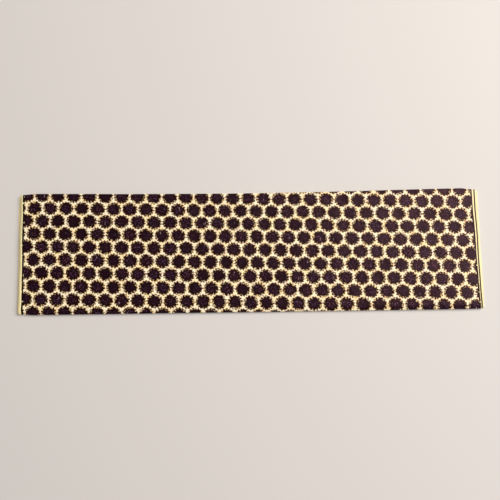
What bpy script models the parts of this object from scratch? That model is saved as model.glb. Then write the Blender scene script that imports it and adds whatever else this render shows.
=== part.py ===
"""A length of wax print cotton, folded back and forth into a flat pack that lies on its lowest panel.

Metres, +Z up. X runs along the folds, from the left selvedge to the right one, and Y from the near long
side of the pack to the far one. The origin is under the middle of the pack, on the surface it lies on.

The cloth is six panels, each as deep as the pack. Its last panel is turned in under the top one, so
the pack shows a soft fold on both of its long sides and no raw edge from above.
"""

import math
from typing import NamedTuple

import bmesh
import bpy
from mathutils import Vector

MM = 0.001

CLOTH_WIDTH = 1.148
PACK_DEPTH = 0.305
THICKNESS = 1.05 * MM
GAP_LEAST = 0.35 * MM
GAP_SPARE = 0.20 * MM

# How high each panel lies, in the order that the cloth runs through them. 0 is the lowest.
PANEL_LEVELS = (0, 1, 2, 3, 5, 4)

SELVEDGE_PRESS = 45 * MM  # how far in from a selvedge the panels are pressed together
FOLD_SPRING = 30 * MM  # how far in from a fold it holds the panels a little apart
FOLD_LOOSENESS = 0.5
CORNER_RUN = 38 * MM  # how far along a fold its corner is drawn in
BOW_POWER = 1.5

EVEN_STATIONS = 18
CORNER_STATIONS = 2
PANEL_STEPS = 7
ARC_STEPS = 6

FAR = 1
NEAR = -1


class Turn(NamedTuple):
    """One line across the cloth where it is folded or ends. Lengths are in millimetres."""

    name: str
    side: int  # the long side of the pack that it lies at
    shift: float  # how far to the right it lies
    flare: float  # how much wider than the cloth's mean width it lies
    reach: float  # how far it stands out past the pack's nominal depth
    bow: float  # how far its middle lies inside the line through its ends
    left_drop: float  # how far its left corner is drawn in
    right_drop: float  # how far its right corner is drawn in


TURNS = (
    Turn("first end", NEAR, -7.5, 0.5, -3.5, 0.5, 0.5, 1.0),
    Turn("lowest far fold", FAR, -9.9, 1.0, -5.0, 2.0, 1.0, 2.0),
    Turn("lower near fold", NEAR, 9.6, 1.5, -2.2, -0.8, 1.5, 0.5),
    Turn("middle far fold", FAR, 6.8, 1.0, -3.6, 3.0, 1.5, 2.5),
    Turn("upper near fold", NEAR, -0.1, 5.1, 0.0, 0.0, 2.2, 0.5),
    Turn("upper far fold", FAR, -1.9, 1.9, 0.0, 6.0, 2.6, 3.6),
    Turn("turned-in end", NEAR, 0.2, 1.6, -9.0, 1.0, 1.0, 1.0),
)


class Swell(NamedTuple):
    """A place where the panels lie looser on each other. Lengths are in millimetres."""

    across: float  # from the middle of the pack, to the right
    deep: float  # from the middle of the pack, towards the far side
    spread: float  # how far it reaches
    share: float  # how much of the spare gap it takes up


SWELLS = (
    Swell(-470, -60, 130, 0.5),
    Swell(-290, 70, 150, 0.7),
    Swell(-70, -40, 170, 0.9),
    Swell(60, 90, 90, 0.4),
    Swell(210, 20, 140, 0.6),
    Swell(430, -50, 160, 0.8),
    Swell(520, 80, 90, 0.5),
)

PRINT_COLOUR = (0.10, 0.055, 0.05, 1.0)
CLOTH_ROUGHNESS = 0.8


def clear_scene():
    """Takes every object out of the open file."""
    for found in list(bpy.data.objects):
        bpy.data.objects.remove(found, do_unlink=True)


def fade(distance, run):
    """1 at no distance, falling smoothly to 0 at the end of the run."""
    left = max(0.0, 1.0 - distance / run)
    return left * left * (3.0 - 2.0 * left)


def looseness(x, y):
    """How much of the spare gap the panels take up at a place, from 0 where they are pressed flat."""
    loose = FOLD_LOOSENESS * fade(PACK_DEPTH / 2 - abs(y), FOLD_SPRING)
    for swell in SWELLS:
        away = math.hypot(x - swell.across * MM, y - swell.deep * MM)
        loose += swell.share * math.exp(-((away / (swell.spread * MM)) ** 2))
    return loose * (1.0 - fade(CLOTH_WIDTH / 2 - abs(x), SELVEDGE_PRESS))


def level_height(level, x, y):
    """The height of the middle of the cloth's thickness in a panel, at a place."""
    gap = GAP_LEAST + GAP_SPARE * looseness(x, y)
    return THICKNESS / 2 + level * (THICKNESS + gap)


def turn_x(turn, across):
    """Where a turn lies along X, for across from -1 at the left selvedge to 1 at the right one."""
    return turn.shift * MM + across * (CLOTH_WIDTH + turn.flare * MM) / 2


def turn_y(turn, across):
    """How far out a turn reaches along Y."""
    left = turn.left_drop * fade((1.0 + across) * CLOTH_WIDTH / 2, CORNER_RUN)
    right = turn.right_drop * fade((1.0 - across) * CLOTH_WIDTH / 2, CORNER_RUN)
    bow = turn.bow * (1.0 - across * across) ** BOW_POWER
    return turn.side * (PACK_DEPTH / 2 + (turn.reach - bow - left - right) * MM)


def flat_end_y(turn_number, across):
    """Where the flat run of the panels beside a turn ends: at a fold's axis, or at the cloth's own end."""
    turn = TURNS[turn_number]
    if turn_number in (0, len(PANEL_LEVELS)):
        return turn_y(turn, across)
    levels_apart = abs(PANEL_LEVELS[turn_number] - PANEL_LEVELS[turn_number - 1])
    radius = levels_apart * (THICKNESS + GAP_LEAST) / 2
    return turn_y(turn, across) - turn.side * (radius + THICKNESS / 2)


def panel_line(number, across):
    """The points and face normals of one panel's middle, closer together near its two turns."""
    start, end = TURNS[number], TURNS[number + 1]
    x0, x1 = turn_x(start, across), turn_x(end, across)
    y0, y1 = flat_end_y(number, across), flat_end_y(number + 1, across)
    normal = Vector((0.0, 0.0, -1.0 if number % 2 == 0 else 1.0))
    line = []
    for step in range(PANEL_STEPS + 1):
        along = (1.0 - math.cos(math.pi * step / PANEL_STEPS)) / 2
        x = x0 + (x1 - x0) * along
        y = y0 + (y1 - y0) * along
        line.append((Vector((x, y, level_height(PANEL_LEVELS[number], x, y))), normal))
    return line


def fold_line(before, after, side):
    """The points and face normals of the half turn between the end of one panel and the next's start."""
    (start, normal), (end, _) = before, after
    radius = abs(end.z - start.z) / 2
    rise = 1.0 if end.z > start.z else -1.0
    outer = -normal.z * rise
    middle = Vector((start.x, start.y, (start.z + end.z) / 2))
    line = []
    for step in range(1, ARC_STEPS):
        angle = math.pi * (step / ARC_STEPS - 0.5)
        out = Vector((0.0, side * math.cos(angle), rise * math.sin(angle)))
        line.append((middle + out * radius, out * outer))
    return line


def cloth_line(across):
    """The points and face normals of the whole cloth, from its first end to its last."""
    line = panel_line(0, across)
    for number in range(1, len(PANEL_LEVELS)):
        panel = panel_line(number, across)
        line += fold_line(line[-1], panel[0], TURNS[number].side)
        line += panel
    return line


def stations():
    """The places across the width where the cloth's line is drawn, with more of them at the corners."""
    corner = 2 * CORNER_RUN / CLOTH_WIDTH
    corners = [corner * step / (CORNER_STATIONS + 1) for step in range(CORNER_STATIONS + 1)]
    inner = 1.0 - corner
    even = [inner * (2.0 * step / EVEN_STATIONS - 1.0) for step in range(EVEN_STATIONS + 1)]
    return [-1.0 + c for c in corners] + even + [1.0 - c for c in reversed(corners)]


def section_ring(shape, across):
    """The closed outline of the cloth's thickness at one station: out along one face, back along the other."""
    line = cloth_line(across)
    half = THICKNESS / 2
    face = [shape.verts.new(point + normal * half) for point, normal in line]
    back = [shape.verts.new(point - normal * half) for point, normal in line]
    return face, back


def cloth_shape():
    """The cloth as one closed mesh: a ring at each station, joined to the next, and shut at the selvedges."""
    shape = bmesh.new()
    rings = [section_ring(shape, across) for across in stations()]
    for (face, back), (next_face, next_back) in zip(rings, rings[1:]):
        ring = face + back[::-1]
        next_ring = next_face + next_back[::-1]
        for here in range(len(ring)):
            after = (here + 1) % len(ring)
            shape.faces.new((ring[here], next_ring[here], next_ring[after], ring[after]))
    for face, back in (rings[0], rings[-1]):
        for here in range(len(face) - 1):
            shape.faces.new((face[here], face[here + 1], back[here + 1], back[here]))
    bmesh.ops.recalc_face_normals(shape, faces=shape.faces)
    return shape


def fabric_material():
    """Printed cotton, in the print's mean colour."""
    material = bpy.data.materials.new("wax_print_cotton")
    material.use_nodes = True
    shader = material.node_tree.nodes["Principled BSDF"]
    shader.inputs["Base Color"].default_value = PRINT_COLOUR
    shader.inputs["Roughness"].default_value = CLOTH_ROUGHNESS
    shader.inputs["Metallic"].default_value = 0.0
    material.diffuse_color = PRINT_COLOUR
    return material


def folded_cloth():
    """The folded length of cloth, as one solid."""
    shape = cloth_shape()
    mesh = bpy.data.meshes.new("folded_cloth")
    shape.to_mesh(mesh)
    shape.free()
    mesh.materials.append(fabric_material())
    mesh.shade_smooth()
    mesh.set_sharp_from_angle(angle=math.radians(50))
    cloth = bpy.data.objects.new("folded_cloth", mesh)
    bpy.context.collection.objects.link(cloth)
    return cloth


def main():
    """Builds the folded cloth in an empty scene."""
    clear_scene()
    folded_cloth()


main()
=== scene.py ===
"""The looks of a length of wax print cotton, folded back and forth into a flat pack.

Metres, +Z up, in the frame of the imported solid: X runs along the folds to the right-hand selvedge, Y across
the panels to the far long side. The origin is under the middle of the pack, on the surface it lies on.
"""

import logging
import math
from dataclasses import dataclass
from enum import Enum

import bpy
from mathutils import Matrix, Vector, noise


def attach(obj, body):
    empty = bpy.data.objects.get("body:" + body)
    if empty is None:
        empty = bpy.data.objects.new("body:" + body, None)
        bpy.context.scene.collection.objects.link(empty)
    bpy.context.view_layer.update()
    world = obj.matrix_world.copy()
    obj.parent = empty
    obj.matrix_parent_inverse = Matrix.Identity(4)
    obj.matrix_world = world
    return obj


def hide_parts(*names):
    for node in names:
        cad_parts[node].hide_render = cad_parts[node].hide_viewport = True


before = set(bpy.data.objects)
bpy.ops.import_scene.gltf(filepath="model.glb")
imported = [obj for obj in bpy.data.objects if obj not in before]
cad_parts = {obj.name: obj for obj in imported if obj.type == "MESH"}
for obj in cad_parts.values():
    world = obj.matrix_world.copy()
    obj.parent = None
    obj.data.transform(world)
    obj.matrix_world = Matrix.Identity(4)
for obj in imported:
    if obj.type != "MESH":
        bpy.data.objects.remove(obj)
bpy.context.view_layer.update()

LOG = logging.getLogger("wax_print_pack")

MM = 0.001
CLOTH_MAP = "cloth"

# Settings of a Map Range node that eases in and out, and of a Mix node for colours.
EASED = {"interpolation_type": "SMOOTHSTEP"}
COLOURS = {"data_type": "RGBA"}

Feed = bpy.types.NodeSocket | float | tuple[float, ...]
Ring = list[tuple[Vector, Vector]]


def linear(hex_colour: str) -> tuple[float, float, float, float]:
    """Turns an sRGB hex colour to linear values.

    Args:
        hex_colour: the colour, as "#rrggbb".

    Returns:
        Red, green, blue and a full alpha.
    """
    shares = [int(hex_colour[at : at + 2], 16) / 255 for at in (1, 3, 5)]
    red, green, blue = (s / 12.92 if s <= 0.04045 else ((s + 0.055) / 1.055) ** 2.4 for s in shares)
    return red, green, blue, 1.0


def add_node(
    tree: bpy.types.NodeTree,
    kind: str,
    feeds: dict[int | str, Feed] | None = None,
    output: int | str = 0,
    **settings: object,
) -> bpy.types.NodeSocket:
    """Adds one node to a material, with its settings and links.

    Args:
        tree: the material's nodes.
        kind: the node's type, without "ShaderNode".
        feeds: what goes into each input, by its place or name: another node's output or a plain value.
        output: the place or name of the output that is wanted.
        settings: the node's own choices, such as its operation.

    Returns:
        The wanted output.
    """
    node = tree.nodes.new("ShaderNode" + kind)
    for name, value in settings.items():
        setattr(node, name, value)
    for key, feed in (feeds or {}).items():
        if isinstance(feed, bpy.types.NodeSocket):
            tree.links.new(feed, node.inputs[key])
        else:
            node.inputs[key].default_value = feed
    return node.outputs[output]


def fade(distance: float, run: float) -> float:
    """1 at no distance, falling smoothly to 0 at the end of the run."""
    left = max(0.0, 1.0 - distance / run)
    return left * left * (3.0 - 2.0 * left)


class Side(Enum):
    """A long side of the pack."""

    FAR = 1
    NEAR = -1


@dataclass(frozen=True)
class Turn:
    """One line across the cloth where it is folded or ends. Lengths are in millimetres."""

    name: str
    side: Side
    shift: float  # how far to the right it lies
    flare: float  # how much wider than the cloth's mean width it lies
    reach: float  # how far it stands out past the pack's nominal depth
    bow: float  # how far its middle lies inside the line through its ends
    left_drop: float  # how far its left corner is drawn in
    right_drop: float  # how far its right corner is drawn in


@dataclass(frozen=True)
class Swell:
    """A place where the panels lie looser on each other. Lengths are in millimetres."""

    across: float  # from the middle of the pack, to the right
    deep: float  # from the middle of the pack, towards the far side
    spread: float  # how far it reaches
    share: float  # how much of the spare gap it takes up


@dataclass(frozen=True)
class Crease:
    """A soft ridge or trough across the panels, strongest in the top one. Lengths are in millimetres."""

    name: str
    across: float  # of its middle, from the middle of the pack to the right
    deep: float  # of its middle, towards the far side
    heading: float  # degrees from the line of the folds, anticlockwise
    run: float  # half of its length
    spread: float  # half of its width
    rise: float  # over the panel, or under it where negative

    def height(self, x: float, y: float) -> float:
        """How much it lifts the top panel at a place.

        Args:
            x: the place along the folds, in metres.
            y: the place across the panels, in metres.

        Returns:
            The lift, in metres.
        """
        turn = math.radians(self.heading)
        dx, dy = x / MM - self.across, y / MM - self.deep
        along = dx * math.cos(turn) + dy * math.sin(turn)
        off = dy * math.cos(turn) - dx * math.sin(turn)
        return self.rise * MM * math.exp(-((off / self.spread) ** 2)) * fade(abs(along), self.run)


@dataclass(frozen=True)
class Repeat:
    """How the discs are laid out over the cloth. Lengths are in millimetres."""

    pitch: float = 39.78  # from one disc to the next in a row
    row: float = 32.85  # from one row to the next, which is set over by half a pitch
    first_disc: tuple[float, float] = (0.50, 2.35)
    weft_skew: float = 0.0294  # how fast the rows run down to the right
    column_lean: float = 0.0051  # how fast the columns lean to the left going up
    sway: float = 1.75  # how far the printed rows are drawn to and fro along their length
    draw: float = 1.98  # how far both ends of the rows are drawn to the left
    row_bow: float = 1.3  # how far the rows at the two folds are drawn down
    bow_reach: float = 150.0  # how far those rows lie from the middle of the top panel
    wander: float = 2.6  # how unevenly single discs are set
    wander_length: float = 45.0  # over which that changes

    @property
    def half_step(self) -> float:
        """Half the way from a disc to its neighbour in the next row."""
        return math.hypot(self.pitch / 2, self.row) / 2


@dataclass(frozen=True)
class Place:
    """Where a point of the cloth lies in the print, as outputs of nodes. Lengths are in millimetres."""

    across: bpy.types.NodeSocket  # from the middle of the cloth's width
    along: bpy.types.NodeSocket  # from the middle of the top panel, along the cloth
    flat: bpy.types.NodeSocket  # the point on the flat cloth
    disc: bpy.types.NodeSocket  # a number of its own for each disc, as a colour
    radius: bpy.types.NodeSocket  # from the middle of its disc
    heading: bpy.types.NodeSocket  # the direction from there, of length 1
    turn: bpy.types.NodeSocket  # the same direction as a share of a full turn
    brink: bpy.types.NodeSocket  # 0 at the middle of the disc, 1 halfway to the next disc


@dataclass(frozen=True)
class Streaks:
    """One set of streaks that run out from the middle of each disc."""

    density: float  # about a sixth of how many there are round a disc
    seed: float  # a number that sets them apart from the other sets


@dataclass(frozen=True)
class WaxPrintCotton:
    """Cotton wax print: plain-woven cotton, printed with wax resist and dye, then pressed to a low gloss.

    It gives the eye deep, uneven aubergine discs with ragged rims on a warm yellow ground, thin pale lines
    where the resist met between the discs, fine dark veins where it cracked, and a dull sheen off the weave.
    Lengths are in millimetres. A pair is where a change begins and ends, and an edge of that kind with no
    comment is in strengths of its own noise, from 0 to 1.
    """

    name: str = "wax_print_cotton"
    width: float = 1148.0  # of the cloth
    repeat: Repeat = Repeat()

    rim_wide: float = 1.02  # how much wider than round a disc is printed
    rim_tall: float = 0.975  # how much taller than round it is printed
    rim_soft: float = 0.2  # half of the width in which a rim turns dark
    teeth: int = 15  # round a rim
    teeth_turned: float = 7.0  # by up to how many teeth a disc's rim is turned
    tooth_sides: tuple[float, float] = (0.19, 0.31)  # where a tooth rises, as shares of the teeth's spacing
    tooth_root: tuple[float, float] = (16.0, 17.7)  # how far out the gaps between them begin
    tooth_tip: tuple[float, float] = (18.4, 19.5)  # how far out they end
    tooth_streaks: tuple[float, float] = (0.36, 0.64)  # strengths of the streaks that set these two
    unrest: Streaks = Streaks(1.1, 31.0)  # sets the teeth out of step
    bite: Streaks = Streaks(2.6, 3.0)  # sets the gaps
    reach: Streaks = Streaks(3.1, 57.0)  # sets the tips
    slits: Streaks = Streaks(4.6, 11.0)  # cuts pale slits into the rim
    slit_edge: tuple[float, float] = (0.57, 0.61)  # strengths of the streaks that are cut
    slit_start: tuple[float, float] = (12.4, 14.4)  # how far out they begin
    streak_drift: float = 0.14  # how fast a streak changes on its way out, for each millimetre
    streak_own: tuple[float, float, float] = (9.1, 7.7, 8.3)  # how far the discs' streaks lie apart
    halo: tuple[float, float] = (-0.8, 0.1)  # where dye bleeds out past the rim, measured inwards from it
    halo_strength: float = 0.45

    heart: float = 9.5  # radius of a disc's aubergine middle
    heart_soft: tuple[float, float] = (-1.5, 2.5)  # where it turns to the ring, outwards from that radius
    brown_rim: tuple[float, float] = (14.5, 18.0)  # how far out the ring turns brown
    mottle_size: float = 3.45
    mottle_edge: tuple[float, float] = (0.575, 0.625)
    mottle_least: float = 0.08  # how strong the mottle is on the darkest disc
    mottle_own: float = 0.6  # how much stronger it is on the lightest one
    painted_glint_size: tuple[float, float] = (3.33, 20.0)  # across and along the cloth, of the painted highlights: pale streaks for light caught on small wrinkles
    painted_glint_edge: tuple[float, float] = (0.79, 0.84)
    painted_glint_strength: float = 0.7

    patch_size: float = 22.2
    patch_edge: tuple[float, float] = (0.35, 0.65)
    stain_size: float = 9.1
    stain_edge: tuple[float, float] = (0.55, 0.75)
    stain_strength: float = 0.4
    line_edge: tuple[float, float] = (0.88, 1.0)  # shares of the way to the next disc
    line_strength: float = 0.7
    speck_size: float = 2.0
    speck_edge: tuple[float, float] = (0.66, 0.70)
    speck_strength: float = 0.8
    vein_mesh: float = 14.3  # from one vein to the next
    vein_half: float = 0.022  # half of a vein's width, as a share of that
    vein_strength: float = 0.45

    selvedge: float = 5.8  # width of the bare edge
    selvedge_under: float = 9.5  # its width on the panels below
    selvedge_turn: tuple[float, float] = (170.0, 400.0)  # how far along the cloth it widens to that
    selvedge_lean: float = 0.0103  # how fast it widens on the right, and narrows on the left, going up
    lean_reach: float = 160.0  # how far it does so from the middle of the top panel
    edge_line: float = 4.4  # width of the dark line inside it
    edge_soft: float = 0.2  # half of the width in which that line meets the print
    line_soft: float = 0.3  # half of the width in which it meets the bare edge
    stray: float = 1.8  # how unevenly both run
    stray_size: float = 7.14
    break_size: float = 8.33  # of the places where the dark line is broken
    break_edge: tuple[float, float] = (0.30, 0.36)
    painted_edge_shade: float = 3.3  # width of the painted shade along the outermost edge: a dark line for the shade under the top panel's overhang
    painted_edge_shade_left: float = 0.35  # how strong that painted shade is on the left, as a share
    edge_shade_soft: float = 0.1  # half of the width in which it ends
    edge_shade_end: tuple[float, float] = (150.0, 156.0)  # how far along the cloth it ends

    thread: float = 0.33  # spacing of the cotton's threads
    thread_drawn: float = 3.0  # they are drawn this many times as coarse, as they are too fine to show
    weave_depth: float = 0.04
    weave_strength: float = 0.5
    crumple_size: float = 28.6
    crumple_depth: float = 2.6
    ior: float = 1.5
    gloss: float = 0.17
    roughness: float = 0.38
    roughness_spread: float = 0.05
    dull_size: float = 50.0  # of the places where it is duller
    dull_edge: tuple[float, float] = (0.3, 0.7)

    heart_colour: str = "#170510"
    heart_light_colour: str = "#765079"
    heart_warm_colour: str = "#845262"
    # painted highlight: the pale of light caught on small wrinkles in the discs
    painted_glint_colour: str = "#c4aab2"
    ring_colour: str = "#1b0604"
    tooth_colour: str = "#56260e"
    halo_colour: str = "#b26a30"
    ground_colour: str = "#fdeaa9"
    ground_pale_colour: str = "#fff8d4"
    stain_colour: str = "#f4cc8a"
    line_colour: str = "#ffefdd"
    edge_colour: str = "#ffeeb8"
    edge_line_colour: str = "#100704"
    # painted shade: the dark of the gap under the top panel's overhanging edge
    painted_edge_shade_colour: str = "#151003"
    gloss_colour: str = "#ffc8d5"

    def material(self) -> bpy.types.Material:
        """Makes the finish.

        Returns:
            The material, whose pattern follows the cloth's own map.
        """
        made = bpy.data.materials.new(self.name)
        made.use_nodes = True
        tree = made.node_tree
        shader = tree.nodes["Principled BSDF"]
        shader.inputs["Metallic"].default_value = 0.0
        shader.inputs["IOR"].default_value = self.ior
        shader.inputs["Specular IOR Level"].default_value = self.gloss
        shader.inputs["Specular Tint"].default_value = linear(self.gloss_colour)
        place = self.place(tree)
        printed = self.printed_field(tree, place)
        banded = self.banded(tree, place, printed)
        edge_shaded = self.edge_shaded(tree, place, banded)
        tree.links.new(edge_shaded, shader.inputs["Base Color"])
        tree.links.new(self.relief(tree, place), shader.inputs["Normal"])
        tree.links.new(self.dullness(tree, place), shader.inputs["Roughness"])
        return made

    def place(self, tree: bpy.types.NodeTree) -> Place:
        """Works out where each point lies in the repeat.

        Args:
            tree: the material's nodes.

        Returns:
            The point's place in the print.
        """
        repeat = self.repeat
        half_width = self.width / 2
        metres = add_node(tree, "UVMap", uv_map=CLOTH_MAP)
        flat = add_node(tree, "VectorMath", {0: metres, "Scale": 1 / MM}, operation="SCALE")
        parts = add_node(tree, "SeparateXYZ", {0: flat}).node
        across, along = parts.outputs[0], parts.outputs[1]

        phase = add_node(tree, "Math", {0: across, 1: 2 * math.pi / half_width}, operation="MULTIPLY")
        sway = add_node(tree, "Math", {0: phase}, operation="SINE")
        share = add_node(tree, "Math", {0: across, 1: half_width}, operation="DIVIDE")
        square = add_node(tree, "Math", {0: share, 1: share}, operation="MULTIPLY")
        drawn = add_node(tree, "Math", {0: square, 1: repeat.draw, 2: across}, operation="MULTIPLY_ADD")
        swayed = add_node(tree, "Math", {0: sway, 1: repeat.sway, 2: drawn}, operation="MULTIPLY_ADD")
        depth = add_node(tree, "Math", {0: along, 1: repeat.bow_reach}, operation="DIVIDE")
        square = add_node(tree, "Math", {0: depth, 1: depth}, operation="MULTIPLY")
        bowed = add_node(tree, "Math", {0: square, 1: repeat.row_bow, 2: along}, operation="MULTIPLY_ADD")
        moved = add_node(tree, "CombineXYZ", {0: swayed, 1: bowed})
        first = (*repeat.first_disc, 0.0)
        centred = add_node(tree, "VectorMath", {0: moved, 1: first}, operation="SUBTRACT")
        lean = (1.0, repeat.column_lean, 0.0)
        right = add_node(tree, "VectorMath", {0: centred, 1: lean}, 1, operation="DOT_PRODUCT")
        skew = (repeat.weft_skew, 1.0, 0.0)
        up = add_node(tree, "VectorMath", {0: centred, 1: skew}, 1, operation="DOT_PRODUCT")
        squared_up = add_node(tree, "CombineXYZ", {0: right, 1: up})
        drift = add_node(
            tree, "TexNoise", {"Vector": flat, "Scale": 1 / repeat.wander_length, "Detail": 0.0}, 1
        )
        drift = add_node(tree, "VectorMath", {0: drift, 1: (0.5, 0.5, 0.5)}, operation="SUBTRACT")
        wander = (repeat.wander, repeat.wander, 0.0)
        printed_at = add_node(
            tree, "VectorMath", {0: drift, 1: wander, 2: squared_up}, operation="MULTIPLY_ADD"
        )

        half = (repeat.pitch / 2, repeat.row, 1.0)
        back = tuple(-side for side in half)
        step = (repeat.pitch / 2, repeat.row, 0.0)
        even = add_node(tree, "VectorMath", {0: printed_at, 1: half, 2: back}, operation="WRAP")
        shifted = add_node(tree, "VectorMath", {0: printed_at, 1: step}, operation="ADD")
        odd = add_node(tree, "VectorMath", {0: shifted, 1: half, 2: back}, operation="WRAP")
        even_far = add_node(tree, "VectorMath", {0: even}, 1, operation="LENGTH")
        odd_far = add_node(tree, "VectorMath", {0: odd}, 1, operation="LENGTH")
        is_even = add_node(tree, "Math", {0: even_far, 1: odd_far}, operation="LESS_THAN")
        local = add_node(tree, "Mix", {0: is_even, 4: odd, 5: even}, 1, data_type="VECTOR")

        middle = add_node(tree, "VectorMath", {0: printed_at, 1: local}, operation="SUBTRACT")
        steps = add_node(tree, "VectorMath", {0: middle, 1: (step[0], step[1], 1.0)}, operation="DIVIDE")
        rounded = add_node(tree, "VectorMath", {0: steps, 1: (0.5, 0.5, 0.5)}, operation="ADD")
        rounded = add_node(tree, "VectorMath", {0: rounded}, operation="FLOOR")
        disc = add_node(tree, "TexWhiteNoise", {"Vector": rounded}, 1, noise_dimensions="3D")

        shape = (1 / self.rim_wide, 1 / self.rim_tall, 0.0)
        shaped = add_node(tree, "VectorMath", {0: local, 1: shape}, operation="MULTIPLY")
        radius = add_node(tree, "VectorMath", {0: shaped}, 1, operation="LENGTH")
        heading = add_node(tree, "VectorMath", {0: shaped}, operation="NORMALIZE")
        sides = add_node(tree, "SeparateXYZ", {0: shaped}).node
        angle = add_node(tree, "Math", {0: sides.outputs[1], 1: sides.outputs[0]}, operation="ARCTAN2")
        turn = add_node(tree, "Math", {0: angle, 1: 2 * math.pi}, operation="DIVIDE")

        folded = add_node(tree, "VectorMath", {0: local}, operation="ABSOLUTE")
        reach = 2 * repeat.half_step
        slant = (repeat.pitch / 2 / reach / repeat.half_step, repeat.row / reach / repeat.half_step, 0.0)
        to_row = add_node(tree, "VectorMath", {0: folded, 1: slant}, 1, operation="DOT_PRODUCT")
        aside = (2 / repeat.pitch, 0.0, 0.0)
        to_side = add_node(tree, "VectorMath", {0: folded, 1: aside}, 1, operation="DOT_PRODUCT")
        brink = add_node(tree, "Math", {0: to_row, 1: to_side}, operation="MAXIMUM")
        return Place(across, along, flat, disc, radius, heading, turn, brink)

    def spokes(self, tree: bpy.types.NodeTree, place: Place, streaks: Streaks) -> bpy.types.NodeSocket:
        """Makes streaks that run out from the middle of each disc, other ones on each disc.

        Args:
            tree: the material's nodes.
            place: the point's place in the print.
            streaks: the set of streaks.

        Returns:
            Their strength, around 0.5.
        """
        spread = {0: place.heading, "Scale": streaks.density}
        around = add_node(tree, "VectorMath", spread, operation="SCALE")
        outward = add_node(
            tree, "Math", {0: place.radius, 1: self.streak_drift, 2: streaks.seed}, operation="MULTIPLY_ADD"
        )
        outward = add_node(tree, "CombineXYZ", {2: outward})
        at = add_node(tree, "VectorMath", {0: around, 1: outward}, operation="ADD")
        at = add_node(
            tree, "VectorMath", {0: place.disc, 1: self.streak_own, 2: at}, operation="MULTIPLY_ADD"
        )
        return add_node(tree, "TexNoise", {"Vector": at, "Scale": 1.0, "Detail": 1.0, "Roughness": 0.6})

    def rim(self, tree: bpy.types.NodeTree, place: Place) -> bpy.types.NodeSocket:
        """Cuts the rim of each disc into uneven teeth.

        Args:
            tree: the material's nodes.
            place: the point's place in the print.

        Returns:
            How far inside its disc's rim the point lies, in millimetres.
        """
        own = add_node(tree, "SeparateColor", {0: place.disc}).node
        unrest = self.spokes(tree, place, self.unrest)
        phase = add_node(
            tree, "Math", {0: place.turn, 1: float(self.teeth), 2: unrest}, operation="MULTIPLY_ADD"
        )
        phase = add_node(
            tree, "Math", {0: own.outputs[0], 1: self.teeth_turned, 2: phase}, operation="MULTIPLY_ADD"
        )
        tooth = add_node(tree, "Math", {0: phase, 1: 0.5}, operation="PINGPONG")
        start, end = self.tooth_sides
        tooth = add_node(tree, "MapRange", {0: tooth, 1: start, 2: end}, **EASED)
        weak, strong = self.tooth_streaks
        bite = self.spokes(tree, place, self.bite)
        deep, shallow = self.tooth_root
        root = add_node(tree, "MapRange", {0: bite, 1: weak, 2: strong, 3: deep, 4: shallow})
        reach = self.spokes(tree, place, self.reach)
        short, long = self.tooth_tip
        tip = add_node(tree, "MapRange", {0: reach, 1: weak, 2: strong, 3: short, 4: long})
        rim = add_node(tree, "Mix", {0: tooth, 2: root, 3: tip})
        return add_node(tree, "Math", {0: rim, 1: place.radius}, operation="SUBTRACT")

    def printed_field(self, tree: bpy.types.NodeTree, place: Place) -> bpy.types.NodeSocket:
        """Colours the printed ground and its discs.

        Args:
            tree: the material's nodes.
            place: the point's place in the print.

        Returns:
            The colour.
        """
        ground = self.ground(tree, place)
        inside = self.rim(tree, place)
        start, end = self.halo
        halo = add_node(tree, "MapRange", {0: inside, 1: start, 2: end, 4: self.halo_strength}, **EASED)
        haloed = add_node(tree, "Mix", {0: halo, 6: ground, 7: linear(self.halo_colour)}, 2, **COLOURS)
        soft = self.rim_soft
        dark = add_node(tree, "MapRange", {0: inside, 1: -soft, 2: soft}, **EASED)
        slits = self.spokes(tree, place, self.slits)
        start, end = self.slit_edge
        slits = add_node(tree, "MapRange", {0: slits, 1: start, 2: end}, **EASED)
        start, end = self.slit_start
        starts = add_node(tree, "MapRange", {0: place.radius, 1: start, 2: end}, **EASED)
        slits = add_node(tree, "Math", {0: slits, 1: starts}, operation="MULTIPLY")
        kept = add_node(tree, "Math", {0: 1.0, 1: slits}, operation="SUBTRACT")
        dark = add_node(tree, "Math", {0: dark, 1: kept}, operation="MULTIPLY")
        return add_node(tree, "Mix", {0: dark, 6: haloed, 7: self.disc(tree, place)}, 2, **COLOURS)

    def disc(self, tree: bpy.types.NodeTree, place: Place) -> bpy.types.NodeSocket:
        """Colours the dark of a disc: a mottled middle and a browner ring round it.

        Args:
            tree: the material's nodes.
            place: the point's place in the print.

        Returns:
            The colour.
        """
        heart = self.disc_heart(tree, place)
        start, end = (self.heart + off for off in self.heart_soft)
        outer = add_node(tree, "MapRange", {0: place.radius, 1: start, 2: end}, **EASED)
        ringed = add_node(tree, "Mix", {0: outer, 6: heart, 7: linear(self.ring_colour)}, 2, **COLOURS)
        start, end = self.brown_rim
        toothed = add_node(tree, "MapRange", {0: place.radius, 1: start, 2: end}, **EASED)
        return add_node(tree, "Mix", {0: toothed, 6: ringed, 7: linear(self.tooth_colour)}, 2, **COLOURS)

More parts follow.
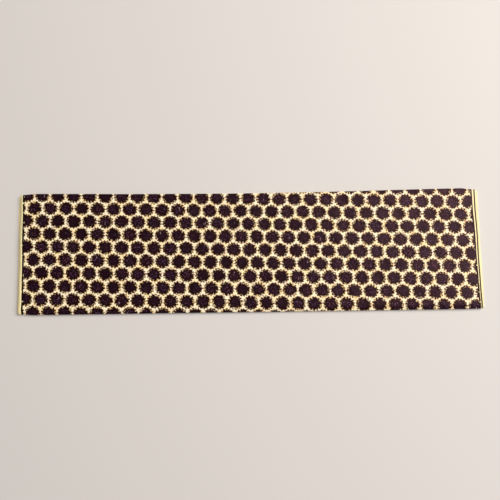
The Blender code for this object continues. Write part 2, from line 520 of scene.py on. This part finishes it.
    def disc_heart(self, tree: bpy.types.NodeTree, place: Place) -> bpy.types.NodeSocket:
        """Colours the middle of a disc: dark, with a mottle of its own strength and cast, and a few painted
        highlights where light would catch small wrinkles.

        Args:
            tree: the material's nodes.
            place: the point's place in the print.

        Returns:
            The colour.
        """
        mottle = add_node(
            tree,
            "TexNoise",
            {"Vector": place.flat, "Scale": 1 / self.mottle_size, "Detail": 1.0, "Roughness": 0.6},
        )
        start, end = self.mottle_edge
        mottle = add_node(tree, "MapRange", {0: mottle, 1: start, 2: end}, **EASED)
        own = add_node(tree, "SeparateColor", {0: place.disc}).node
        strength = {0: own.outputs[0], 1: self.mottle_own, 2: self.mottle_least}
        light = add_node(tree, "Math", strength, operation="MULTIPLY_ADD")
        light = add_node(tree, "Math", {0: mottle, 1: light}, operation="MULTIPLY")
        casts = {6: linear(self.heart_light_colour), 7: linear(self.heart_warm_colour)}
        cast = add_node(tree, "Mix", {0: own.outputs[2], **casts}, 2, **COLOURS)
        heart = add_node(tree, "Mix", {0: light, 6: linear(self.heart_colour), 7: cast}, 2, **COLOURS)
        # Painted highlights: pale streaks that stand for light caught on small wrinkles.
        wide, long = self.painted_glint_size
        stretch = (1 / wide, 1 / long, 0.0)
        stretched = add_node(tree, "VectorMath", {0: place.flat, 1: stretch}, operation="MULTIPLY")
        painted_glints = add_node(tree, "TexNoise", {"Vector": stretched, "Scale": 1.0, "Detail": 0.0})
        start, end = self.painted_glint_edge
        painted_glints = add_node(tree, "MapRange", {0: painted_glints, 1: start, 2: end, 4: self.painted_glint_strength}, **EASED)
        return add_node(tree, "Mix", {0: painted_glints, 6: heart, 7: linear(self.painted_glint_colour)}, 2, **COLOURS)

    def ground(self, tree: bpy.types.NodeTree, place: Place) -> bpy.types.NodeSocket:
        """Colours the ground between the discs: yellow, with pale patches, stains and lines, and dark marks.

        Args:
            tree: the material's nodes.
            place: the point's place in the print.

        Returns:
            The colour.
        """
        patches = add_node(
            tree, "TexNoise", {"Vector": place.flat, "Scale": 1 / self.patch_size, "Detail": 2.0}
        )
        start, end = self.patch_edge
        patches = add_node(tree, "MapRange", {0: patches, 1: start, 2: end}, **EASED)
        grounds = {6: linear(self.ground_colour), 7: linear(self.ground_pale_colour)}
        colour = add_node(tree, "Mix", {0: patches, **grounds}, 2, **COLOURS)
        stains = add_node(
            tree, "TexNoise", {"Vector": place.flat, "Scale": 1 / self.stain_size, "Detail": 3.0}
        )
        start, end = self.stain_edge
        stains = add_node(tree, "MapRange", {0: stains, 1: start, 2: end, 4: self.stain_strength}, **EASED)
        colour = add_node(tree, "Mix", {0: stains, 6: colour, 7: linear(self.stain_colour)}, 2, **COLOURS)
        start, end = self.line_edge
        line = add_node(
            tree, "MapRange", {0: place.brink, 1: start, 2: end, 4: self.line_strength}, **EASED
        )
        colour = add_node(tree, "Mix", {0: line, 6: colour, 7: linear(self.line_colour)}, 2, **COLOURS)
        marks = self.dark_marks(tree, place)
        return add_node(tree, "Mix", {0: marks, 6: colour, 7: linear(self.halo_colour)}, 2, **COLOURS)

    def dark_marks(self, tree: bpy.types.NodeTree, place: Place) -> bpy.types.NodeSocket:
        """Makes the specks on the ground and the veins where the wax cracked.

        Args:
            tree: the material's nodes.
            place: the point's place in the print.

        Returns:
            Their strength.
        """
        specks = add_node(
            tree, "TexNoise", {"Vector": place.flat, "Scale": 1 / self.speck_size, "Detail": 1.0}
        )
        start, end = self.speck_edge
        specks = add_node(tree, "MapRange", {0: specks, 1: start, 2: end, 4: self.speck_strength}, **EASED)
        veins = add_node(
            tree,
            "TexVoronoi",
            {"Vector": place.flat, "Scale": 1 / self.vein_mesh, "Randomness": 1.0},
            feature="DISTANCE_TO_EDGE",
        )
        veins = add_node(
            tree, "MapRange", {0: veins, 1: 0.0, 2: self.vein_half, 3: self.vein_strength, 4: 0.0}, **EASED
        )
        return add_node(tree, "Math", {0: specks, 1: veins}, operation="MAXIMUM")

    def banded(
        self, tree: bpy.types.NodeTree, place: Place, printed: bpy.types.NodeSocket
    ) -> bpy.types.NodeSocket:
        """Lays the bare selvedge and its broken dark line over the print's two ends.

        Args:
            tree: the material's nodes.
            place: the point's place in the print.
            printed: the colour of the print.

        Returns:
            The colour.
        """
        off = add_node(tree, "Math", {0: place.across}, operation="ABSOLUTE")
        edge = add_node(tree, "Math", {0: self.width / 2, 1: off}, operation="SUBTRACT")
        reach = self.lean_reach
        lean = reach * self.selvedge_lean
        leaned = add_node(tree, "MapRange", {0: place.along, 1: -reach, 2: reach, 3: lean, 4: -lean})
        side = add_node(tree, "Math", {0: place.across}, operation="SIGN")
        edge = add_node(tree, "Math", {0: side, 1: leaned, 2: edge}, operation="MULTIPLY_ADD")
        far = add_node(tree, "Math", {0: place.along}, operation="ABSOLUTE")
        start, end = self.selvedge_turn
        wider = self.selvedge_under - self.selvedge
        under = add_node(tree, "MapRange", {0: far, 1: start, 2: end, 4: wider})
        edge = add_node(tree, "Math", {0: edge, 1: under}, operation="SUBTRACT")
        ragged = add_node(
            tree, "TexNoise", {"Vector": place.flat, "Scale": 1 / self.stray_size, "Detail": 2.0}
        )
        ragged = add_node(tree, "Math", {0: ragged, 1: 0.5}, operation="SUBTRACT")
        edge = add_node(tree, "Math", {0: ragged, 1: self.stray, 2: edge}, operation="MULTIPLY_ADD")

        inner, soft = self.selvedge + self.edge_line, self.edge_soft
        bare = add_node(
            tree, "MapRange", {0: edge, 1: inner - soft, 2: inner + soft, 3: 1.0, 4: 0.0}, **EASED
        )
        outer, soft = self.selvedge, self.line_soft
        line = add_node(tree, "MapRange", {0: edge, 1: outer - soft, 2: outer + soft}, **EASED)
        breaks = add_node(
            tree, "TexNoise", {"Vector": place.flat, "Scale": 1 / self.break_size, "Detail": 1.0}
        )
        start, end = self.break_edge
        breaks = add_node(tree, "MapRange", {0: breaks, 1: start, 2: end}, **EASED)
        line = add_node(tree, "Math", {0: line, 1: breaks}, operation="MULTIPLY")
        bands = {6: linear(self.edge_colour), 7: linear(self.edge_line_colour)}
        band = add_node(tree, "Mix", {0: line, **bands}, 2, **COLOURS)
        return add_node(tree, "Mix", {0: bare, 6: printed, 7: band}, 2, **COLOURS)

    def edge_shaded(
        self, tree: bpy.types.NodeTree, place: Place, banded: bpy.types.NodeSocket
    ) -> bpy.types.NodeSocket:
        """Paints shade along the outermost edge of the top panel: a dark olive line that stands for the shade
        in the gap under its overhanging edge, weaker on the left.

        Args:
            tree: the material's nodes.
            place: the point's place in the print.
            banded: the colour of the print with its selvedges.

        Returns:
            The colour.
        """
        off = add_node(tree, "Math", {0: place.across}, operation="ABSOLUTE")
        rim = add_node(tree, "Math", {0: self.width / 2, 1: off}, operation="SUBTRACT")
        # The painted shade's width, and how softly it ends.
        thread, soft = self.painted_edge_shade, self.edge_shade_soft
        rim = add_node(tree, "MapRange", {0: rim, 1: thread - soft, 2: thread + soft, 3: 1.0, 4: 0.0})
        far = add_node(tree, "Math", {0: place.along}, operation="ABSOLUTE")
        start, end = self.edge_shade_end
        on_top = add_node(tree, "MapRange", {0: far, 1: start, 2: end, 3: 1.0, 4: 0.0})
        rim = add_node(tree, "Math", {0: rim, 1: on_top}, operation="MULTIPLY")
        side = add_node(tree, "Math", {0: place.across}, operation="SIGN")
        strength = add_node(tree, "MapRange", {0: side, 1: -1.0, 2: 1.0, 3: self.painted_edge_shade_left, 4: 1.0})
        rim = add_node(tree, "Math", {0: rim, 1: strength}, operation="MULTIPLY")
        return add_node(tree, "Mix", {0: rim, 6: banded, 7: linear(self.painted_edge_shade_colour)}, 2, **COLOURS)

    def relief(self, tree: bpy.types.NodeTree, place: Place) -> bpy.types.NodeSocket:
        """Makes the relief of the threads and of the small crumples between the folds.

        Args:
            tree: the material's nodes.
            place: the point's place in the print.

        Returns:
            The surface's normal.
        """
        turn = math.pi / (self.thread * self.thread_drawn)
        turned = add_node(tree, "VectorMath", {0: place.flat, "Scale": turn}, operation="SCALE")
        parts = add_node(tree, "SeparateXYZ", {0: turned}).node
        warp = add_node(tree, "Math", {0: parts.outputs[0]}, operation="SINE")
        weft = add_node(tree, "Math", {0: parts.outputs[1]}, operation="SINE")
        weave = add_node(tree, "Math", {0: warp, 1: weft}, operation="MULTIPLY")
        crumple = add_node(
            tree,
            "TexNoise",
            {"Vector": place.flat, "Scale": 1 / self.crumple_size, "Detail": 3.0, "Roughness": 0.5},
        )
        crumpled = add_node(
            tree, "Bump", {"Strength": 1.0, "Distance": self.crumple_depth * MM, "Height": crumple}
        )
        weave_bump = {"Strength": self.weave_strength, "Distance": self.weave_depth * MM}
        return add_node(tree, "Bump", {**weave_bump, "Height": weave, "Normal": crumpled})

    def dullness(self, tree: bpy.types.NodeTree, place: Place) -> bpy.types.NodeSocket:
        """Varies how dull the pressed surface is.

        Args:
            tree: the material's nodes.
            place: the point's place in the print.

        Returns:
            The roughness.
        """
        patches = add_node(
            tree, "TexNoise", {"Vector": place.flat, "Scale": 1 / self.dull_size, "Detail": 2.0}
        )
        start, end = self.dull_edge
        low, high = self.roughness - self.roughness_spread, self.roughness + self.roughness_spread
        return add_node(tree, "MapRange", {0: patches, 1: start, 2: end, 3: low, 4: high})


@dataclass(frozen=True)
class PaleFloor:
    """A plain pale floor: matt ceramic, which gives the eye an even, warm off-white."""

    name: str = "pale_floor"
    colour: str = "#dad5d2"
    roughness: float = 0.7

    def material(self) -> bpy.types.Material:
        """Makes the finish.

        Returns:
            The material.
        """
        made = bpy.data.materials.new(self.name)
        made.use_nodes = True
        tree = made.node_tree
        shader = tree.nodes["Principled BSDF"]
        shader.inputs["Roughness"].default_value = self.roughness
        shader.inputs["Base Color"].default_value = linear(self.colour)
        return made


@dataclass
class FoldedCloth:
    """The length of cloth: six panels folded back and forth, with the last one turned in under the top."""

    name: str = "wax_print_cloth"
    width: float = 1.148  # of the flat cloth
    length: float = 1.778  # of the flat cloth: its six panels with their folds
    depth: float = 0.305  # of the pack
    thickness: float = 0.7 * MM
    solid_thickness: float = 1.05 * MM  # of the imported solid, whose height this pack keeps
    solid_gap: float = 0.35 * MM
    spare_gap: float = 0.20 * MM
    panel_levels: tuple[int, ...] = (0, 1, 2, 3, 5, 4)  # 0 is the lowest
    top_panel: int = 4
    selvedge_press: float = 45 * MM  # how far in from a selvedge the panels are pressed together
    fold_spring: float = 30 * MM  # how far in from a fold it holds the panels a little apart
    fold_looseness: float = 0.5
    corner_run: float = 38 * MM  # how far along a fold its corner is drawn in
    bow_power: float = 1.5
    near_press: float = 0.32  # share of the height that the pack loses at its near fold
    near_run: float = 14 * MM  # how far in from there it rolls down
    ripple: float = 0.35 * MM  # how far each panel lies from flat
    ripple_length: float = 95 * MM
    ripple_squeeze: float = 1.4  # how much shorter the ripples are across the panels
    ripple_seed: float = 5.3  # sets the panels' ripples apart
    edge_stray: float = 1.1 * MM  # how far a selvedge strays from straight
    edge_stray_length: float = 60 * MM
    edge_stray_seed: float = 2.7  # sets the panels' edges apart
    columns: int = 176
    crowding: float = 0.35  # how much closer the columns lie at the selvedges
    top_steps: int = 58
    panel_steps: int = 22
    arc_steps: int = 8
    smooth_angle: float = 50.0  # degrees: faces that meet at more than this keep a sharp edge
    finish: WaxPrintCotton = WaxPrintCotton()

    turns: tuple[Turn, ...] = (
        Turn("first end", Side.NEAR, -7.5, 0.5, -3.5, 0.5, 0.5, 1.0),
        Turn("lowest far fold", Side.FAR, -9.9, 1.0, -5.0, 2.0, 1.0, 2.0),
        Turn("lower near fold", Side.NEAR, 9.6, 1.5, -2.2, -0.8, 1.5, 0.5),
        Turn("middle far fold", Side.FAR, 6.8, 1.0, -3.6, 3.0, 1.5, 2.5),
        Turn("upper near fold", Side.NEAR, 1.2, 7.7, 1.2, 0.0, 2.2, 0.5),
        Turn("upper far fold", Side.FAR, -1.4, 2.9, 0.0, 6.0, 2.6, 3.6),
        Turn("turned-in end", Side.NEAR, 0.2, 1.6, -9.0, 1.0, 1.0, 1.0),
    )
    swells: tuple[Swell, ...] = (
        Swell(-470, -60, 130, 0.5),
        Swell(-290, 70, 150, 0.7),
        Swell(-70, -40, 170, 0.9),
        Swell(60, 90, 90, 0.4),
        Swell(210, 20, 140, 0.6),
        Swell(430, -50, 160, 0.8),
        Swell(520, 80, 90, 0.5),
    )
    creases: tuple[Crease, ...] = (
        Crease("mid crease", -9, 0, 91, 190, 5, -0.38),
        Crease("right lip of the mid crease", 3, 4, 91, 170, 8, 0.26),
        Crease("left lip of the mid crease", -22, -10, 92, 150, 9, 0.20),
        Crease("left quarter crease", -291, 0, 89, 190, 6, 0.24),
        Crease("right quarter crease", 284, 0, 90, 190, 6, -0.26),
        Crease("near left drag", -505, -112, 34, 75, 10, 0.45),
        Crease("second near left drag", -470, -88, 27, 60, 9, -0.30),
        Crease("far left drag", -512, 112, -31, 70, 11, 0.40),
        Crease("near right drag", 498, -108, -28, 80, 10, 0.42),
        Crease("far right drag", 515, 104, 36, 70, 10, 0.45),
        Crease("second far right drag", 470, 88, 30, 60, 9, -0.28),
        Crease("slack by the near fold", -175, -128, 3, 120, 9, 0.34),
        Crease("slack by the near fold, right", 165, -124, -4, 140, 10, 0.30),
        Crease("slack by the far fold", -35, 121, -5, 95, 9, 0.36),
        Crease("slack by the far fold, right", 330, 118, 4, 120, 9, 0.30),
    )

    def looseness(self, x: float, y: float) -> float:
        """How much of the spare gap the panels take up at a place.

        Args:
            x: the place along the folds, in metres.
            y: the place across the panels, in metres.

        Returns:
            The share, from 0 where they are pressed flat.
        """
        loose = self.fold_looseness * fade(self.depth / 2 - abs(y), self.fold_spring)
        for swell in self.swells:
            away = math.hypot(x - swell.across * MM, y - swell.deep * MM)
            loose += swell.share * math.exp(-((away / (swell.spread * MM)) ** 2))
        return loose * (1.0 - fade(self.width / 2 - abs(x), self.selvedge_press))

    def level_height(self, level: int, x: float, y: float) -> float:
        """The height of the middle of the cloth's thickness in a panel.

        Args:
            level: the panel's level, from 0 at the bottom.
            x: the place along the folds, in metres.
            y: the place across the panels, in metres.

        Returns:
            The height, in metres.
        """
        highest = len(self.panel_levels) - 1
        gap = self.solid_gap + self.spare_gap * self.looseness(x, y)
        pack = (highest + 1) * self.solid_thickness + highest * gap
        share = level / highest
        height = self.thickness / 2 + share * (pack - self.thickness)
        height += share * sum(crease.height(x, y) for crease in self.creases)
        if level:
            squeezed = self.ripple_squeeze * y
            at = Vector((x / self.ripple_length, squeezed / self.ripple_length, self.ripple_seed * level))
            height += self.ripple * noise.noise(at)
        pressed = self.near_press * max(0.0, 1.0 - (y + self.depth / 2) / self.near_run) ** 2
        return self.thickness / 2 + (height - self.thickness / 2) * (1.0 - pressed)

    def turn_x(self, turn: Turn, across: float) -> float:
        """Where a turn lies along X, for across from -1 at the left selvedge to 1 at the right one."""
        return turn.shift * MM + across * (self.width + turn.flare * MM) / 2

    def turn_y(self, turn: Turn, across: float) -> float:
        """How far out a turn reaches along Y.

        Args:
            turn: the turn.
            across: from -1 at the left selvedge to 1 at the right one.

        Returns:
            The place, in metres.
        """
        left = turn.left_drop * fade((1.0 + across) * self.width / 2, self.corner_run)
        right = turn.right_drop * fade((1.0 - across) * self.width / 2, self.corner_run)
        bow = turn.bow * (1.0 - across * across) ** self.bow_power
        return turn.side.value * (self.depth / 2 + (turn.reach - bow - left - right) * MM)

    def flat_end_y(self, turn_number: int, across: float) -> float:
        """Where the flat run of the panels beside a turn ends: at a fold's axis, or at the cloth's own end.

        Args:
            turn_number: the turn's place in the table.
            across: from -1 at the left selvedge to 1 at the right one.

        Returns:
            The place, in metres.
        """
        turn = self.turns[turn_number]
        if turn_number in (0, len(self.panel_levels)):
            return self.turn_y(turn, across)
        levels_apart = abs(self.panel_levels[turn_number] - self.panel_levels[turn_number - 1])
        radius = levels_apart * (self.solid_thickness + self.solid_gap) / 2
        return self.turn_y(turn, across) - turn.side.value * (radius + self.thickness / 2)

    def panel_line(self, number: int, across: float) -> Ring:
        """Draws one panel's middle, with its points closer together near its two turns.

        Args:
            number: the panel's place along the cloth.
            across: from -1 at the left selvedge to 1 at the right one.

        Returns:
            The points with their face normals.
        """
        start, end = self.turns[number], self.turns[number + 1]
        x0, x1 = self.turn_x(start, across), self.turn_x(end, across)
        y0, y1 = self.flat_end_y(number, across), self.flat_end_y(number + 1, across)
        normal = Vector((0.0, 0.0, -1.0 if number % 2 == 0 else 1.0))
        steps = self.top_steps if number == self.top_panel else self.panel_steps
        level = self.panel_levels[number]
        line = []
        for step in range(steps + 1):
            even = step / steps
            along = (even + (1.0 - math.cos(math.pi * even)) / 2) / 2
            y = y0 + (y1 - y0) * along
            at = Vector((0.0, y / self.edge_stray_length, self.edge_stray_seed * number))
            stray = noise.noise(at)
            x = x0 + (x1 - x0) * along + across * self.edge_stray * stray
            line.append((Vector((x, y, self.level_height(level, x, y))), normal))
        return line

    def fold_line(self, before: tuple[Vector, Vector], after: tuple[Vector, Vector], side: Side) -> Ring:
        """Draws the half turn between the end of one panel and the start of the next.

        Args:
            before: the last point of the panel before it, and its normal.
            after: the first point of the panel after it, and its normal.
            side: the long side it lies at.

        Returns:
            The points with their face normals.
        """
        (start, normal), (end, _) = before, after
        radius = abs(end.z - start.z) / 2
        rise = 1.0 if end.z > start.z else -1.0
        outer = -normal.z * rise
        line = []
        for step in range(1, self.arc_steps):
            share = step / self.arc_steps
            angle = math.pi * (share - 0.5)
            out = Vector((0.0, side.value * math.cos(angle), rise * math.sin(angle)))
            middle = start.lerp(end, share)
            middle.z = (start.z + end.z) / 2
            line.append((middle + out * radius, out * outer))
        return line

    def cloth_line(self, across: float) -> Ring:
        """Draws the whole cloth from its first end to its last.

        Args:
            across: from -1 at the left selvedge to 1 at the right one.

        Returns:
            The points with their face normals.
        """
        line = self.panel_line(0, across)
        for number in range(1, len(self.panel_levels)):
            panel = self.panel_line(number, across)
            line += self.fold_line(line[-1], panel[0], self.turns[number].side)
            line += panel
        return line

    def lengths(self, line: Ring) -> list[float]:
        """How far along the cloth each point lies, from the middle of the top panel.

        Args:
            line: the whole cloth's line at one place across.

        Returns:
            The lengths in metres, growing towards the far side on the top panel.
        """
        far = [0.0]
        for (here, _), (after, _) in zip(line, line[1:]):
            far.append(far[-1] + (after - here).length)
        first = self.top_panel * (self.panel_steps + self.arc_steps)
        for at in range(first, first + self.top_steps):
            here, after = line[at][0].y, line[at + 1][0].y
            if here <= 0.0 < after:
                middle = far[at] + (far[at + 1] - far[at]) * -here / (after - here)
        return [length - middle for length in far]

    def stations(self) -> list[float]:
        """The places across the width where the cloth's line is drawn, closer at the selvedges."""
        even = [2.0 * step / self.columns - 1.0 for step in range(self.columns + 1)]
        return [(1 - self.crowding) * e + self.crowding * math.sin(math.pi * e / 2) for e in even]

    def mesh(self) -> bpy.types.Mesh:
        """Builds the cloth as one closed sheet.

        Returns:
            The mesh, with a map of the flat cloth in metres.
        """
        points: list[Vector] = []
        places: list[tuple[float, float]] = []
        for across in self.stations():
            line = self.cloth_line(across)
            ring = [(point, normal, along) for (point, normal), along in zip(line, self.lengths(line))]
            face = [(p + n * self.thickness / 2, a) for p, n, a in ring]
            back = [(p - n * self.thickness / 2, a) for p, n, a in reversed(ring)]
            for point, along in face + back:
                points.append(point)
                places.append((across * self.width / 2, along))
        size = len(points) // (self.columns + 1)
        half = size // 2
        faces = []
        for column in range(self.columns):
            here, after = column * size, (column + 1) * size
            for step in range(size):
                on = (step + 1) % size
                faces.append((here + step, after + step, after + on, here + on))
        for first, turned in ((0, False), (self.columns * size, True)):
            for step in range(half - 1):
                corners = (first + step, first + step + 1, first + size - 2 - step, first + size - 1 - step)
                faces.append(corners[::-1] if turned else corners)
        mesh = bpy.data.meshes.new(self.name)
        mesh.from_pydata(points, [], faces)
        cloth_map = mesh.uv_layers.new(name=CLOTH_MAP)
        for loop in mesh.loops:
            cloth_map.data[loop.index].uv = places[loop.vertex_index]
        mesh.validate()
        mesh.shade_smooth()
        mesh.set_sharp_from_angle(angle=math.radians(self.smooth_angle))
        return mesh

    def build(self) -> bpy.types.Object:
        """Builds and dresses the cloth, in place of its solid.

        Returns:
            The cloth.
        """
        mesh = self.mesh()
        mesh.materials.append(self.finish.material())
        cloth = bpy.data.objects.new(self.name, mesh)
        bpy.context.collection.objects.link(cloth)
        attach(cloth, "root")
        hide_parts("folded_cloth")
        return cloth


@dataclass
class Studio:
    """The floor, the soft light and the camera. Sizes are in metres."""

    floor_half: float = 4.0
    floor_drop: float = 0.2 * MM  # so that the cloth's underside doesn't lie in the floor's own face
    floor_finish: PaleFloor = PaleFloor()
    key_place: tuple[float, float, float] = (4.2, 2.0, 5.0)
    key_size: float = 7.0
    key_power: float = 690.0
    key_colour: str = "#fffaf2"
    fill_colour: str = "#f3f4fa"
    fill_strength: float = 0.215
    camera_place: tuple[float, float, float] = (-0.0004, -0.1520, 1.465)
    camera_tilt: float = 6.02  # degrees from straight down, towards the far side
    camera_turn: float = -0.803  # degrees about the upright
    picture_width: float = 500.0
    focal_length: float = 583.0  # in pixels of the picture
    sensor: float = 36.0

    def floor(self) -> bpy.types.Object:
        """Lays the floor.

        Returns:
            The floor.
        """
        half = self.floor_half
        corners = [(-half, -half), (half, -half), (half, half), (-half, half)]
        mesh = bpy.data.meshes.new("floor")
        mesh.from_pydata([(x, y, -self.floor_drop) for x, y in corners], [], [(0, 1, 2, 3)])
        mesh.materials.append(self.floor_finish.material())
        floor = bpy.data.objects.new("floor", mesh)
        bpy.context.collection.objects.link(floor)
        return floor

    def light(self) -> None:
        """Hangs one soft key light to the far right, and fills the room with even light."""
        lamp = bpy.data.lights.new("key", "AREA")
        lamp.shape = "DISK"
        lamp.size = self.key_size
        lamp.energy = self.key_power
        lamp.color = linear(self.key_colour)[:3]
        key = bpy.data.objects.new("key", lamp)
        key.location = self.key_place
        key.rotation_euler = (-Vector(self.key_place)).to_track_quat("-Z", "Y").to_euler()
        bpy.context.collection.objects.link(key)
        world = bpy.data.worlds.new("room")
        world.use_nodes = True
        sky = world.node_tree.nodes["Background"]
        sky.inputs["Color"].default_value = linear(self.fill_colour)
        sky.inputs["Strength"].default_value = self.fill_strength
        bpy.context.scene.world = world

    def camera(self) -> None:
        """Sets up the camera, looking down on the pack."""
        lens = bpy.data.cameras.new("camera")
        lens.sensor_width = self.sensor
        lens.lens = self.focal_length / self.picture_width * self.sensor
        camera = bpy.data.objects.new("camera", lens)
        camera.location = self.camera_place
        camera.rotation_euler = (math.radians(self.camera_tilt), 0.0, math.radians(self.camera_turn))
        bpy.context.collection.objects.link(camera)
        bpy.context.scene.camera = camera
        bpy.context.scene.view_settings.view_transform = "Standard"


def report(piece: bpy.types.Object) -> None:
    """Logs a piece's name and how fine it is."""
    LOG.info("%s: %d points, %d faces", piece.name, len(piece.data.vertices), len(piece.data.polygons))


def main() -> None:
    """Builds the studio and the cloth in order, and reports each piece."""
    logging.basicConfig(level=logging.INFO)
    studio = Studio()
    studio.camera()
    studio.light()
    report(studio.floor())
    report(FoldedCloth().build())


if __name__ == "__main__":
    main()
